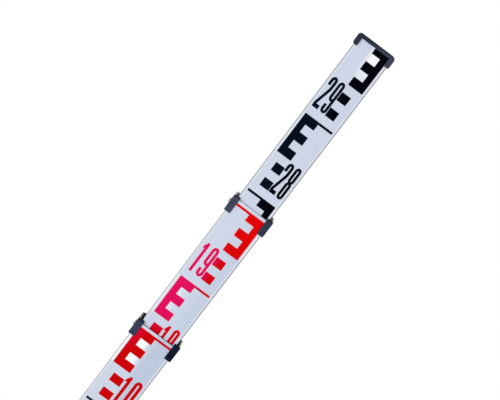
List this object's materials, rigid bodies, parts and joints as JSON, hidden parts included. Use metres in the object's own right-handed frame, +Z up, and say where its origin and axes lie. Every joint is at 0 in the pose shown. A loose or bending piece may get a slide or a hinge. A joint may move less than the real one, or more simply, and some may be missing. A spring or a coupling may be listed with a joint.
{
  "type": "leveling staff",
  "caption": "Telescopic box-section leveling staff with an E-pattern graduated face, corner clips at each joint, spring lock pins, a top cap and a flat foot.",
  "frame": {"origin": "middle of the foot's flat underside, which is the zero of the scale", "axes": "+Z up the staff, -Y out of the graduated face, +X to the right of someone facing it"},
  "size_m": [0.0585, 0.0318, 1.4926],
  "materials": {
    "tube": "anodised aluminium with a white enamelled graduated front",
    "shoe": "moulded, fine texture",
    "clip": "moulded, slate blue",
    "cap": "moulded, slate",
    "slide_plastic": "low friction",
    "band": "rolled and brushed",
    "steel": "zinc plated",
    "rivet": "bright",
    "lock": "turned"
  },
  "bodies": {
    "base_section": {"lower_tube": "tube", "base_shoe": "shoe", "base_shoe_screws": "steel", "base_wear_plate": "steel", "base_plate_screws": "steel", "lower_collar_band": "band", "lower_clip_left": "clip", "lower_clip_right": "clip", "lower_rear_pad": "slide_plastic", "lower_band_rivets": "rivet", "lower_lock_spring": "steel", "lower_lock_rivet": "rivet"},
    "lower_lock": {"lower_lock_pin": "lock"},
    "middle_section": {"middle_tube": "tube", "middle_bottom_plug": "slide_plastic", "middle_plug_rivets": "rivet", "middle_collar_band": "band", "middle_clip_left": "clip", "middle_clip_right": "clip", "middle_rear_pad": "slide_plastic", "middle_band_rivets": "rivet", "middle_lock_spring": "steel", "middle_lock_rivet": "rivet"},
    "middle_lock": {"middle_lock_pin": "lock"},
    "top_section": {"top_tube": "tube", "top_bottom_plug": "slide_plastic", "top_plug_rivets": "rivet", "top_cap": "cap", "top_cap_screws": "steel"}
  },
  "joints": [
    {"name": "middle_slide", "type": "slide", "parent": "base_section", "child": "middle_section", "axis": [0, 0, 1], "range_m": [-0.151, 0.7274]},
    {"name": "top_slide", "type": "slide", "parent": "middle_section", "child": "top_section", "axis": [0, 0, 1], "range_m": [-0.199, 0.78]},
    {"name": "lower_lock_pull", "type": "slide", "parent": "base_section", "child": "lower_lock", "axis": [-1, 0, 0], "range_m": [0, 0.0015], "stiffness_N_per_m": 800, "springref_m": -0.002, "deforming": ["lower_lock_spring"]},
    {"name": "middle_lock_pull", "type": "slide", "parent": "middle_section", "child": "middle_lock", "axis": [-1, 0, 0], "range_m": [0, 0.0015], "stiffness_N_per_m": 800, "springref_m": -0.002, "deforming": ["middle_lock_spring"]}
  ]
}
